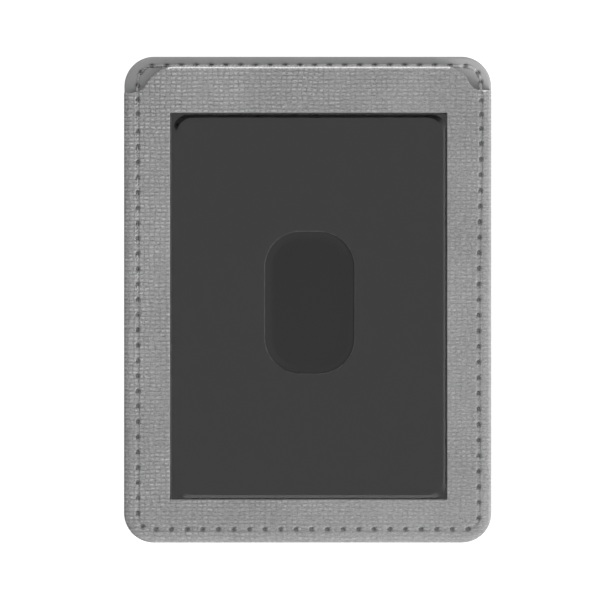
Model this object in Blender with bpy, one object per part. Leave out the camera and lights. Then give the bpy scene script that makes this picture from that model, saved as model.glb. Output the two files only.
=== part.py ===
"""Trading card toploader: a stitched sleeve with a card-size window, and the rigid holder that slides in it.

Metres, +Z up. The sleeve lies on its back with its mouth towards +Y, and the origin is the middle of its
footprint, on the surface that it lies on. The leather panels are flat layers of one outline. The holder is
two plastic sheets bonded along their edges, with room for one card between them.
"""

import math

import bmesh
import bpy

# The card that everything is made round
CARD_WIDTH = 0.0635
CARD_LENGTH = 0.0889
CARD_CORNER = 0.0030

# Rigid holder: its margin round the card, its two sheets and the thumb slot
HOLDER_MARGIN = 0.00635
HOLDER_CORNER = 0.0030
HOLDER_BACK = 0.0004
HOLDER_WEB = 0.0004
HOLDER_EDGE_ROUND = 0.00015
CARD_ROOM = 0.0006
CARD_PLAY = 0.0004
PANEL_RISE = 0.0004
PANEL_BEVEL = 0.00065
SLOT_WIDTH = 0.0206
SLOT_LENGTH = 0.0328
SLOT_CORNER = 0.0082
SLOT_ASIDE = 0.0004
SLOT_ABOVE = 0.0008
SLOT_RIM = 0.00015

# Sleeve: what lies round the holder, from the pocket outwards
SLIDE_GAP = 0.00015
SIDE_GAP = 0.0004
SEAT_GAP = 0.0003
SIDE_WELT = 0.0040
BOTTOM_WELT = 0.00375
MOUTH_COVER = 0.00445
MOUTH_LIP = 0.0024
SLEEVE_CORNER = 0.0063

# Window of the front frame
WINDOW_GAP = 0.00035
WINDOW_CORNER = 0.0002

# Shoulders of the front frame: the flat shelf at the side, the arc up, the slope and the arc back to flat
LEFT_SHELF = 0.0017
LEFT_LOWER_RADIUS = 0.0044
LEFT_SLOPE = 0.0013
LEFT_UPPER_RADIUS = 0.0070
LEFT_SWEEP = 55
RIGHT_SHELF = 0.0027
RIGHT_LOWER_RADIUS = 0.0022
RIGHT_SLOPE = 0.0023
RIGHT_UPPER_RADIUS = 0.0040
RIGHT_SWEEP = 60

# Thickness of each layer, from the back to the front
BACK_LEATHER = 0.0009
BACK_BOARD = 0.0008
BACK_LINING = 0.0008
FRONT_LINING = 0.0003
FRONT_BOARD = 0.0004
FRONT_LEATHER = 0.0009
GLUE_LINE = 0.00005
LEATHER_ROUND = 0.0003

# Seam: its distance from each edge of the sleeve, its corners and its stitches
SEAM_SIDE = 0.0031
SEAM_BOTTOM = 0.0032
SEAM_TOP = 0.00215
SEAM_TOP_CORNER = 0.0037
SEAM_BOTTOM_CORNER = 0.0030
STITCH_PITCH = 0.00356
THREAD = 0.00045
THREAD_DIP = 0.00015
THREAD_PROUD = 0.00010
THREAD_SUNK = 0.00005
GROOVE_WIDTH = 0.0008
GROOVE_FLOOR_GAP = 0.00005
EDGE_STANDOFF = 0.0006
CROWN_START_SHARE = 0.25
CROWN_END_SHARE = 0.75

# How far a cutter reaches past what it cuts
OVERRUN = 0.0010

# Steps of the round forms
CORNER_STEPS = 8
SHOULDER_STEPS = 6
ROUND_STEPS = 2
THREAD_RINGS = 1

# Outlines that follow from the card
HOLDER_WIDTH = CARD_WIDTH + 2 * HOLDER_MARGIN
HOLDER_LENGTH = CARD_LENGTH + 2 * HOLDER_MARGIN
POCKET_SIDE = HOLDER_WIDTH / 2 + SIDE_GAP
SLEEVE_WIDTH = 2 * (POCKET_SIDE + SIDE_WELT)
BELOW_HOLDER = SEAT_GAP + BOTTOM_WELT
ABOVE_HOLDER = MOUTH_COVER + MOUTH_LIP
SLEEVE_LENGTH = BELOW_HOLDER + HOLDER_LENGTH + ABOVE_HOLDER
WINDOW_DROP = (ABOVE_HOLDER - BELOW_HOLDER) / 2
HOLDER_BOTTOM = BELOW_HOLDER - SLEEVE_LENGTH / 2
POCKET_BOTTOM = HOLDER_BOTTOM - SEAT_GAP
FRONT_TOP = SLEEVE_LENGTH / 2 - MOUTH_LIP


class Shoulder:
    """One S-shaped end of the front frame's top edge, on the side -1 or 1; sweep is the slope's angle."""

    def __init__(self, side, shelf, lower_radius, slope, upper_radius, sweep):
        self.side = side
        self.shelf = shelf
        self.lower_radius = lower_radius
        self.slope = slope
        self.upper_radius = upper_radius
        self.sweep = math.radians(sweep)

    def rise(self):
        arcs = (self.lower_radius + self.upper_radius) * (1 - math.cos(self.sweep))
        return arcs + self.slope * math.sin(self.sweep)

    def reach(self):
        arcs = (self.lower_radius + self.upper_radius) * math.sin(self.sweep)
        return self.shelf + arcs + self.slope * math.cos(self.sweep)

    def points(self, inset):
        """From the outer edge of the sleeve to the flat top edge, moved in by inset."""
        edge = SLEEVE_WIDTH / 2
        low = FRONT_TOP - self.rise()
        inner = edge - self.reach()
        outline = [(edge - inset, low - inset)]
        for step in range(SHOULDER_STEPS + 1):
            turn = self.sweep * step / SHOULDER_STEPS
            radius = self.lower_radius + inset
            outline.append(
                (
                    edge - self.shelf - radius * math.sin(turn),
                    low + self.lower_radius - radius * math.cos(turn),
                )
            )
        for step in range(SHOULDER_STEPS + 1):
            turn = self.sweep * (1 - step / SHOULDER_STEPS)
            radius = self.upper_radius - inset
            outline.append(
                (
                    inner + radius * math.sin(turn),
                    FRONT_TOP - self.upper_radius + radius * math.cos(turn),
                )
            )
        return [(self.side * x, y) for x, y in outline]

    def height_at(self, x):
        """The y of the cut edge at a place x on the shelf or the lower arc."""
        past_shelf = max(SLEEVE_WIDTH / 2 - abs(x) - self.shelf, 0)
        lift = self.lower_radius - math.sqrt(self.lower_radius**2 - past_shelf**2)
        return FRONT_TOP - self.rise() + lift


LEFT_SHOULDER = Shoulder(
    -1, LEFT_SHELF, LEFT_LOWER_RADIUS, LEFT_SLOPE, LEFT_UPPER_RADIUS, LEFT_SWEEP
)
RIGHT_SHOULDER = Shoulder(
    1, RIGHT_SHELF, RIGHT_LOWER_RADIUS, RIGHT_SLOPE, RIGHT_UPPER_RADIUS, RIGHT_SWEEP
)

# Heights of the layers, from the surface that the sleeve lies on
BACK_BOARD_Z = BACK_LEATHER + GLUE_LINE
BACK_LINING_Z = BACK_BOARD_Z + BACK_BOARD + GLUE_LINE
POCKET_FLOOR = BACK_LINING_Z + BACK_LINING
HOLDER_BACK_Z = POCKET_FLOOR + SLIDE_GAP
HOLDER_FRONT_Z = HOLDER_BACK_Z + HOLDER_BACK + GLUE_LINE
HOLDER_RIM = CARD_ROOM + HOLDER_WEB
POCKET_ROOF = HOLDER_FRONT_Z + HOLDER_RIM + PANEL_RISE + SLIDE_GAP
WELT_Z = POCKET_FLOOR + GLUE_LINE
WELT = POCKET_ROOF - GLUE_LINE - WELT_Z
FRONT_BOARD_Z = POCKET_ROOF + FRONT_LINING + GLUE_LINE
FRONT_LEATHER_Z = FRONT_BOARD_Z + FRONT_BOARD + GLUE_LINE
FRONT_FACE = FRONT_LEATHER_Z + FRONT_LEATHER
THREAD_RADIUS = THREAD / 2


def clear_scene():
    for obj in list(bpy.data.objects):
        bpy.data.objects.remove(obj, do_unlink=True)


def make_material(name, color, roughness, metallic=0.0):
    material = bpy.data.materials.new(name)
    material.use_nodes = True
    shader = material.node_tree.nodes["Principled BSDF"]
    shader.inputs["Base Color"].default_value = (*color, 1.0)
    shader.inputs["Roughness"].default_value = roughness
    shader.inputs["Metallic"].default_value = metallic
    material.diffuse_color = (*color, 1.0)
    return material


def arc(centre, radius, start, end, steps):
    """Points on an arc about centre from the angle start to the angle end, in degrees, both ends included."""
    angles = [math.radians(start + (end - start) * step / steps) for step in range(steps + 1)]
    return [
        (centre[0] + radius * math.cos(angle), centre[1] + radius * math.sin(angle))
        for angle in angles
    ]


def rounded_rectangle(width, length, radius, centre=(0, 0)):
    """A rectangle's outline with round corners, anticlockwise from its right side."""
    x, y = width / 2 - radius, length / 2 - radius
    corners = [(x, y, 0), (-x, y, 90), (-x, -y, 180), (x, -y, 270)]
    outline = []
    for corner_x, corner_y, start in corners:
        middle = (centre[0] + corner_x, centre[1] + corner_y)
        outline += arc(middle, radius, start, start + 90, CORNER_STEPS)
    return outline


def sleeve_outline(inset=0.0):
    """The back panel's outline, moved in by inset."""
    return rounded_rectangle(
        SLEEVE_WIDTH - 2 * inset, SLEEVE_LENGTH - 2 * inset, SLEEVE_CORNER - inset
    )


def front_outline(inset=0.0):
    """The front frame's outline, anticlockwise: round at the bottom, with a shoulder at each top corner."""
    side = SLEEVE_WIDTH / 2 - SLEEVE_CORNER
    low = SLEEVE_CORNER - SLEEVE_LENGTH / 2
    radius = SLEEVE_CORNER - inset
    outline = arc((-side, low), radius, 180, 270, CORNER_STEPS)
    outline += arc((side, low), radius, 270, 360, CORNER_STEPS)
    outline += RIGHT_SHOULDER.points(inset)
    outline += reversed(LEFT_SHOULDER.points(inset))
    return outline


def window_outline(inset=0.0):
    """The window's outline; inset widens it, as it narrows the frame round it."""
    return rounded_rectangle(
        CARD_WIDTH + 2 * (WINDOW_GAP + inset),
        CARD_LENGTH + 2 * (WINDOW_GAP + inset),
        WINDOW_CORNER + inset,
        (0, -WINDOW_DROP),
    )


def card_outline(inset=0.0):
    """The raised panel's outline, as large as a card, in the holder's own frame."""
    return rounded_rectangle(
        CARD_WIDTH - 2 * inset, CARD_LENGTH - 2 * inset, CARD_CORNER - inset, (0, HOLDER_LENGTH / 2)
    )


def holder_outline(inset=0.0):
    return rounded_rectangle(
        HOLDER_WIDTH - 2 * inset,
        HOLDER_LENGTH - 2 * inset,
        HOLDER_CORNER - inset,
        (0, HOLDER_LENGTH / 2),
    )


def slot_outline(inset=0.0):
    """The thumb slot's outline in the holder's own frame; inset widens it."""
    return rounded_rectangle(
        SLOT_WIDTH + 2 * inset,
        SLOT_LENGTH + 2 * inset,
        SLOT_CORNER + inset,
        (SLOT_ASIDE, HOLDER_LENGTH / 2 + SLOT_ABOVE),
    )


def edge_steps(radius):
    """(inset, drop) pairs of a rounded edge, from where it leaves the side to the face."""
    angles = [math.pi / 2 * step / ROUND_STEPS for step in range(ROUND_STEPS + 1)]
    return [(radius * (1 - math.cos(angle)), radius * (1 - math.sin(angle))) for angle in angles]


def rounded_levels(outline, thickness, radius):
    """Loops of a plate whose upper edge is rounded: [(points, height)], from the bottom up."""
    levels = [(outline(), 0.0)]
    return levels + [(outline(inset), thickness - drop) for inset, drop in edge_steps(radius)]


def square_levels(outline, thickness):
    return [(outline(), 0.0), (outline(), thickness)]


def add_ring_faces(mesh, lower, upper):
    count = len(lower)
    for index in range(count):
        after = (index + 1) % count
        mesh.faces.new((lower[index], lower[after], upper[after], upper[index]))


def add_loops(mesh, levels):
    """One ring of vertices for each level, joined by walls; returns the rings."""
    rings = [[mesh.verts.new((x, y, height)) for x, y in points] for points, height in levels]
    for lower, upper in zip(rings, rings[1:]):
        add_ring_faces(mesh, lower, upper)
    return rings


def ring_edges(mesh, ring):
    count = len(ring)
    pairs = [(ring[index], ring[(index + 1) % count]) for index in range(count)]
    return [mesh.edges.get(pair) or mesh.edges.new(pair) for pair in pairs]


def link(name, data, material, location=(0, 0, 0), parent=None):
    obj = bpy.data.objects.new(name, data)
    bpy.context.scene.collection.objects.link(obj)
    obj.location = location
    obj.parent = parent
    data.materials.append(material)
    return obj


def plate(name, levels, material, hole_levels=None, location=(0, 0, 0), parent=None):
    """A plate built up from its loops, with one hole through it where hole_levels gives the hole's loops."""
    mesh = bmesh.new()
    walls = [add_loops(mesh, levels)]
    if hole_levels:
        walls.append(add_loops(mesh, hole_levels))
    for end in (0, -1):
        edges = [edge for rings in walls for edge in ring_edges(mesh, rings[end])]
        bmesh.ops.triangle_fill(mesh, use_beauty=True, edges=edges)
    bmesh.ops.recalc_face_normals(mesh, faces=mesh.faces[:])
    data = bpy.data.meshes.new(name)
    mesh.to_mesh(data)
    mesh.free()
    return link(name, data, material, location, parent)


def hide(cutter):
    cutter.hide_render = True
    cutter.display_type = "WIRE"
    return cutter


def cut(obj, cutter, operation="DIFFERENCE"):
    modifier = obj.modifiers.new(cutter.name, "BOOLEAN")
    modifier.operation = operation
    modifier.object = hide(cutter)
    modifier.solver = "EXACT"


def seam_loop():
    """The seam's line, anticlockwise from the middle of the mouth: down the left side and up the right."""
    side = SLEEVE_WIDTH / 2 - SEAM_SIDE
    top = SLEEVE_LENGTH / 2 - SEAM_TOP
    bottom = SEAM_BOTTOM - SLEEVE_LENGTH / 2
    high, low = SEAM_TOP_CORNER, SEAM_BOTTOM_CORNER
    line = [(0.0, top)]
    line += arc((high - side, top - high), high, 90, 180, CORNER_STEPS)
    line += arc((low - side, bottom + low), low, 180, 270, CORNER_STEPS)
    line += arc((side - low, bottom + low), low, 270, 360, CORNER_STEPS)
    line += arc((side - high, top - high), high, 0, 90, CORNER_STEPS)
    line.append((0.0, top))
    return line


def distances(line):
    """How far along the line each of its points lies."""
    found = [0.0]
    for first, second in zip(line, line[1:]):
        found.append(found[-1] + math.dist(first, second))
    return found


def point_at(line, along, distance):
    """The place on the line at a distance from its start."""
    for index in range(len(line) - 1):
        if distance <= along[index + 1] or index == len(line) - 2:
            share = (distance - along[index]) / (along[index + 1] - along[index])
            first, second = line[index], line[index + 1]
            return tuple(a + (b - a) * share for a, b in zip(first, second))


def run_between(line, along, start, end):
    """The stretch of the line between two distances."""
    inner = [point for point, distance in zip(line, along) if start < distance < end]
    return [point_at(line, along, start), *inner, point_at(line, along, end)]


def beside(run, offset):
    """The run's points moved square to it by offset, to its left."""
    moved = []
    for index, (x, y) in enumerate(run):
        before = run[max(index - 1, 0)]
        after = run[min(index + 1, len(run) - 1)]
        length = math.dist(before, after)
        moved.append(
            (x - offset * (after[1] - before[1]) / length, y + offset * (after[0] - before[0]) / length)
        )
    return moved


def beside_loop(line, offset):
    """A closed line's points moved square to it by offset, to its left."""
    padded = [line[-1], *line, line[0]]
    return beside(padded, offset)[1:-1]


def groove_cutter(name, run, material, bottom, top):
    """A band along the run, from one height to the other, to cut a groove with."""
    outline = beside(run, -GROOVE_WIDTH / 2) + beside(run, GROOVE_WIDTH / 2)[::-1]
    return plate(name, [(outline, bottom), (outline, top)], material)


def shoulder_distances(line, along):
    """How far along the seam the front frame begins, on the left, and ends, on the right."""
    side = SLEEVE_WIDTH / 2 - SEAM_SIDE
    high = SLEEVE_LENGTH / 2 - SEAM_TOP - SEAM_TOP_CORNER
    left_start = along[CORNER_STEPS + 1]
    right_end = along[-CORNER_STEPS - 2]
    left = left_start + high - LEFT_SHOULDER.height_at(side)
    right = right_end - high + RIGHT_SHOULDER.height_at(side)
    return left, right


def thread_curve(name, places, material):
    """A thread as one closed tube through its places."""
    data = bpy.data.curves.new(name, "CURVE")
    data.dimensions = "3D"
    data.bevel_depth = THREAD_RADIUS
    data.bevel_resolution = THREAD_RINGS
    spline = data.splines.new("POLY")
    spline.points.add(len(places) - 1)
    for point, place in zip(spline.points, places):
        point.co = (*place, 1.0)
    spline.use_cyclic_u = True
    return link(name, data, material)


def stitch_marks(total):
    """(distance, dip) pairs along the seam: each stitch dips into its needle hole, then has a flat crown."""
    count = round(total / STITCH_PITCH)
    marks = []
    for index in range(count):
        for share, dip in ((0, THREAD_DIP), (CROWN_START_SHARE, 0), (CROWN_END_SHARE, 0)):
            marks.append((total * (index + share) / count, dip))
    return marks


def front_thread(material):
    """The needle thread: in the lip's groove at the mouth, and in the front frame's below the shoulders."""
    line = seam_loop()
    along = distances(line)
    left, right = shoulder_distances(line, along)
    lip = POCKET_FLOOR - THREAD_SUNK - THREAD_RADIUS
    face = FRONT_FACE + THREAD_PROUD - THREAD_RADIUS
    climb, fall = left - EDGE_STANDOFF, right + EDGE_STANDOFF
    route = []
    for distance, dip in stitch_marks(along[-1]):
        if min(abs(distance - climb), abs(distance - fall)) > THREAD:
            level = face if climb < distance < fall else lip
            route.append((distance, 0, level - dip))
    route += [(climb, 0, lip), (climb, 1, face), (fall, 0, face), (fall, 1, lip)]
    places = [(*point_at(line, along, distance), height) for distance, _, height in sorted(route)]
    return thread_curve("front_thread", places, material)


def back_thread(material):
    """The bobbin thread, all round the back panel."""
    line = seam_loop()
    along = distances(line)
    crown = THREAD_SUNK + THREAD_RADIUS
    places = []
    for distance, dip in stitch_marks(along[-1]):
        places.append((*point_at(line, along, distance), crown + dip))
    return thread_curve("back_thread", places, material)


def groove_depth(sunk):
    """How deep a groove is whose thread has its crowns sunk below the face."""
    return THREAD + THREAD_DIP + sunk + GROOVE_FLOOR_GAP


def back_leather(material):
    """The back skin, its rounded edge and its groove on the side that the sleeve lies on."""
    levels = rounded_levels(sleeve_outline, BACK_LEATHER, LEATHER_ROUND)
    face_down = [(points, BACK_LEATHER - height) for points, height in levels[::-1]]
    skin = plate("back_leather", face_down, material)
    line = seam_loop()[1:-1]
    outer = beside_loop(line, -GROOVE_WIDTH / 2)
    inner = beside_loop(line, GROOVE_WIDTH / 2)
    depth = groove_depth(THREAD_SUNK)
    band = plate(
        "back_groove_cutter",
        [(outer, -OVERRUN), (outer, depth)],
        material,
        [(inner, -OVERRUN), (inner, depth)],
    )
    cut(skin, band)


def back_board(material):
    plate(
        "back_board",
        square_levels(sleeve_outline, BACK_BOARD),
        material,
        location=(0, 0, BACK_BOARD_Z),
    )


def back_lining(material):
    """The back panel's smooth inside, with the groove that holds the thread at the mouth."""
    lining = plate(
        "back_lining",
        rounded_levels(sleeve_outline, BACK_LINING, LEATHER_ROUND),
        material,
        location=(0, 0, BACK_LINING_Z),
    )
    line = seam_loop()
    along = distances(line)
    left, right = shoulder_distances(line, along)
    run = run_between(line, along, right, along[-1])[:-1] + run_between(line, along, 0.0, left)
    floor = POCKET_FLOOR - groove_depth(THREAD_SUNK)
    cut(lining, groove_cutter("lip_groove_cutter", run, material, floor, POCKET_FLOOR + OVERRUN))


def front_block(name, material):
    """A block of the front frame's outline, to trim the welts with."""
    top = POCKET_ROOF + OVERRUN
    return plate(name, [(front_outline(), POCKET_FLOOR - OVERRUN), (front_outline(), top)], material)


def welt(name, left, right, bottom, top, material):
    """A strip of the pocket's wall, trimmed to the front frame's outline."""
    outline = [(left, bottom), (right, bottom), (right, top), (left, top)]
    strip = plate(name, [(outline, 0.0), (outline, WELT)], material, location=(0, 0, WELT_Z))
    cut(strip, front_block(name + "_trimmer", material), "INTERSECT")


def welts(material):
    """The three strips round the pocket, butted at the bottom corners."""
    outer = SLEEVE_WIDTH / 2 + OVERRUN
    top = SLEEVE_LENGTH / 2
    below = -SLEEVE_LENGTH / 2 - OVERRUN
    joint = POCKET_BOTTOM + GLUE_LINE
    welt("left_welt", -outer, -POCKET_SIDE, joint, top, material)
    welt("right_welt", POCKET_SIDE, outer, joint, top, material)
    welt("bottom_welt", -outer, outer, below, POCKET_BOTTOM, material)


def frame_layer(name, thickness, height, material):
    """A flat layer of the front frame."""
    plate(
        name,
        square_levels(front_outline, thickness),
        material,
        square_levels(window_outline, thickness),
        location=(0, 0, height),
    )


def front_leather(material):
    """The front skin: rounded at its outer edge and its window, grooved for the thread."""
    skin = plate(
        "front_leather",
        rounded_levels(front_outline, FRONT_LEATHER, LEATHER_ROUND),
        material,
        rounded_levels(window_outline, FRONT_LEATHER, LEATHER_ROUND),
        location=(0, 0, FRONT_LEATHER_Z),
    )
    line = seam_loop()
    along = distances(line)
    left, right = shoulder_distances(line, along)
    run = run_between(line, along, left - OVERRUN, right + OVERRUN)
    floor = FRONT_FACE - groove_depth(-THREAD_PROUD)
    cut(skin, groove_cutter("front_groove_cutter", run, material, floor, FRONT_FACE + OVERRUN))


def holder_slide():
    """The empty that carries the rigid holder, on its slide's axis at the pocket's bottom."""
    carrier = bpy.data.objects.new("toploader_slide", None)
    bpy.context.scene.collection.objects.link(carrier)
    carrier.location = (0, HOLDER_BOTTOM, HOLDER_BACK_Z)
    return carrier


def toploader_back(material, carrier):
    plate(
        "toploader_back",
        square_levels(holder_outline, HOLDER_BACK),
        material,
        parent=carrier,
    )


def toploader_front(material, carrier):
    """The moulded front: its flat margin, the raised card panel, the card's room under it and the slot."""
    rise = HOLDER_RIM + PANEL_RISE
    levels = rounded_levels(holder_outline, HOLDER_RIM, HOLDER_EDGE_ROUND)
    for inset, drop in edge_steps(1):
        levels.append((card_outline(inset * PANEL_BEVEL), rise - drop * PANEL_RISE))
    shell = plate(
        "toploader_front",
        levels,
        material,
        rounded_levels(slot_outline, rise, SLOT_RIM),
        location=(0, 0, HOLDER_FRONT_Z - HOLDER_BACK_Z),
        parent=carrier,
    )
    cut(shell, card_room_cutter(material, carrier))


def card_room_cutter(material, carrier):
    """The card's room between the two sheets, open at the holder's mouth."""
    half = CARD_WIDTH / 2 + CARD_PLAY
    bottom = HOLDER_MARGIN - CARD_PLAY
    outline = arc((-half + CARD_CORNER, bottom + CARD_CORNER), CARD_CORNER, 180, 270, CORNER_STEPS)
    outline += arc((half - CARD_CORNER, bottom + CARD_CORNER), CARD_CORNER, 270, 360, CORNER_STEPS)
    outline += [(half, HOLDER_LENGTH + OVERRUN), (-half, HOLDER_LENGTH + OVERRUN)]
    low = HOLDER_BACK
    high = HOLDER_FRONT_Z - HOLDER_BACK_Z + CARD_ROOM
    return plate("card_room_cutter", [(outline, low), (outline, high)], material, parent=carrier)


def build():
    clear_scene()
    leather = make_material("grey_cross_grain_leather", (0.29, 0.29, 0.29), 0.55)
    lining = make_material("smooth_grey_lining", (0.27, 0.27, 0.275), 0.5)
    board = make_material("grey_board", (0.10, 0.10, 0.10), 0.9)
    thread = make_material("grey_thread", (0.25, 0.25, 0.255), 0.6)
    clear = make_material("smoke_clear_plastic", (0.06, 0.06, 0.062), 0.15)
    black = make_material("black_plastic", (0.03, 0.03, 0.03), 0.3)

    back_leather(leather)
    back_board(board)
    back_lining(lining)
    welts(board)
    frame_layer("front_lining", FRONT_LINING, POCKET_ROOF, lining)
    frame_layer("front_board", FRONT_BOARD, FRONT_BOARD_Z, board)
    front_leather(leather)
    front_thread(thread)
    back_thread(thread)
    carrier = holder_slide()
    toploader_back(black, carrier)
    toploader_front(clear, carrier)


build()
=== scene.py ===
"""Looks of the trading card toploader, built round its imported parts.

The sleeve is cut, glued and sewn from flat layers, and the rigid holder inside it is two moulded sheets.
Lengths are metres, +Y is the mouth of the sleeve and +Z its window side.
"""

import logging
import math
from abc import ABC, abstractmethod
from collections.abc import Callable, Iterator, Sequence
from contextlib import contextmanager
from dataclasses import dataclass, field, replace
from enum import Enum, IntEnum
from functools import reduce

import bmesh
import bpy
from mathutils import Matrix, Vector

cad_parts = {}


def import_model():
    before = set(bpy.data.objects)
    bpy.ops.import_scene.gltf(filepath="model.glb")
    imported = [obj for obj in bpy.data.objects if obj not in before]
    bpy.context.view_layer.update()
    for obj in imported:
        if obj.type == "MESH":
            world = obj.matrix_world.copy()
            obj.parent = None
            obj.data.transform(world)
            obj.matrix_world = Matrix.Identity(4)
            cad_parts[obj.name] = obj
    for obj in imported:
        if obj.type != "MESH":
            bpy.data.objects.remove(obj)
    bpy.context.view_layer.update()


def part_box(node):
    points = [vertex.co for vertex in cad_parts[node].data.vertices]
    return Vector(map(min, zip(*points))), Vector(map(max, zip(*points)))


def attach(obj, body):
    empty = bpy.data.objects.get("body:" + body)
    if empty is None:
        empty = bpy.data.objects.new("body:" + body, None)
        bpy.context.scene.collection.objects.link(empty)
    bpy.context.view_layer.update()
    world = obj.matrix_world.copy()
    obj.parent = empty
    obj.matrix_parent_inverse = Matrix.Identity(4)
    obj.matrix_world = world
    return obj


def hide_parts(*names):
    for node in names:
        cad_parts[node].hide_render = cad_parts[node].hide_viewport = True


LOG = logging.getLogger("toploader")

Pair = tuple[float, float]
Place = tuple[float, float, float]
Tint = tuple[float, float, float]
Object = bpy.types.Object
Material = bpy.types.Material
Socket = bpy.types.NodeSocket
Source = Socket | float | Sequence[float]
Feeds = dict[int | str, Source]
Edge = bmesh.types.BMEdge
Polygon = bmesh.types.BMFace
Test = Callable[..., bool]

# Places nearer than this count as one, and points nearer than the second are merged
NEAR = 0.00002
MERGED = 0.000001
# How far a cutting tool reaches past what it cuts
PAST = 0.0010
# The z of a face's normal: an upright face stays below the first, a broad one is above the second,
# and a tilted one is below the third
STEEP = 0.35
BROAD = 0.9
TILTED = 0.98
# The material slot of a layer's sanded edge
EDGE_SLOT = 1


class Cut(Enum):
    """What a tool does to the piece that it is put through."""

    REMOVE = "DIFFERENCE"
    ADD = "UNION"
    KEEP = "INTERSECT"


class Face(Enum):
    """Which way the dressed face of a layer looks."""

    UP = 1
    DOWN = -1


class SkinSlot(IntEnum):
    """The material slots of the front skin."""

    GRAIN = 0
    RAW = 1
    EDGE = 2


def grey(level: float, cool: float = 0.0) -> Tint:
    """A grey, with a little more blue than red and green."""
    return level, level, level + cool


def smooth(share: float) -> float:
    """A share between 0 and 1 that eases in and out."""
    return share * share * (3 - 2 * share)


def take(obj: Object) -> None:
    """Makes one object the only one selected, and the active one."""
    bpy.ops.object.select_all(action="DESELECT")
    obj.select_set(True)
    bpy.context.view_layer.objects.active = obj


def added(name: str) -> Object:
    """Names the object that was just added, and puts its place and size into its data."""
    obj = bpy.context.object
    obj.name = obj.data.name = name
    bpy.ops.object.transform_apply(location=True, rotation=True, scale=True)
    return obj


def block(name: str, low: Sequence[float], high: Sequence[float]) -> Object:
    """Adds a block that fills the box between its lowest and its highest corner."""
    size = [upper - lower for lower, upper in zip(low, high)]
    middle = [(upper + lower) / 2 for lower, upper in zip(low, high)]
    bpy.ops.object.select_all(action="DESELECT")
    bpy.ops.mesh.primitive_cube_add(size=1, location=middle, scale=size)
    return added(name)


def trim(obj: Object, tool: Object, cut: Cut = Cut.REMOVE) -> None:
    """Cuts, adds or keeps with a tool, which is used up.

    Args:
        obj: The piece that is worked on.
        tool: The closed shape that is put through it.
        cut: What the tool does.
    """
    take(obj)
    bpy.ops.object.modifier_add(type="BOOLEAN")
    modifier = obj.modifiers[-1]
    modifier.operation = cut.value
    modifier.solver = "EXACT"
    modifier.object = tool
    bpy.ops.object.modifier_apply(modifier=modifier.name)
    bpy.data.objects.remove(tool, do_unlink=True)
    if not obj.data.polygons:
        raise RuntimeError(f"{obj.name} has nothing left")


def upright(edge: Edge) -> bool:
    """Whether an edge stands straight up."""
    along = edge.verts[1].co - edge.verts[0].co
    return abs(along.x) < NEAR and abs(along.y) < NEAR


def is_side(face: Polygon) -> bool:
    """Whether a face stands upright, such as a layer's sanded edge."""
    return abs(face.normal.z) < STEEP


def post_at(*places: Pair) -> Test:
    """A test for the upright edges that stand at the given places."""

    def test(edge: Edge) -> bool:
        """Whether the edge is one of those posts."""
        x, y, _ = edge.verts[0].co
        return upright(edge) and any(abs(x - a) < NEAR and abs(y - b) < NEAR for a, b in places)

    return test


def rim(looks: Face, inside: Callable[[Vector], bool] = lambda middle: True) -> Test:
    """A test for the edges where a broad face meets an upright one.

    Args:
        looks: Which way the broad face looks.
        inside: Says of the edge's middle whether it counts.

    Returns:
        The test.
    """

    def test(edge: Edge) -> bool:
        """Whether the edge is on that rim."""
        if len(edge.link_faces) != 2:
            return False
        steep, broad = sorted(face.normal.z * looks.value for face in edge.link_faces)
        middle = (edge.verts[0].co + edge.verts[1].co) / 2
        return abs(steep) < STEEP and broad > BROAD and inside(middle)

    return test


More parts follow.
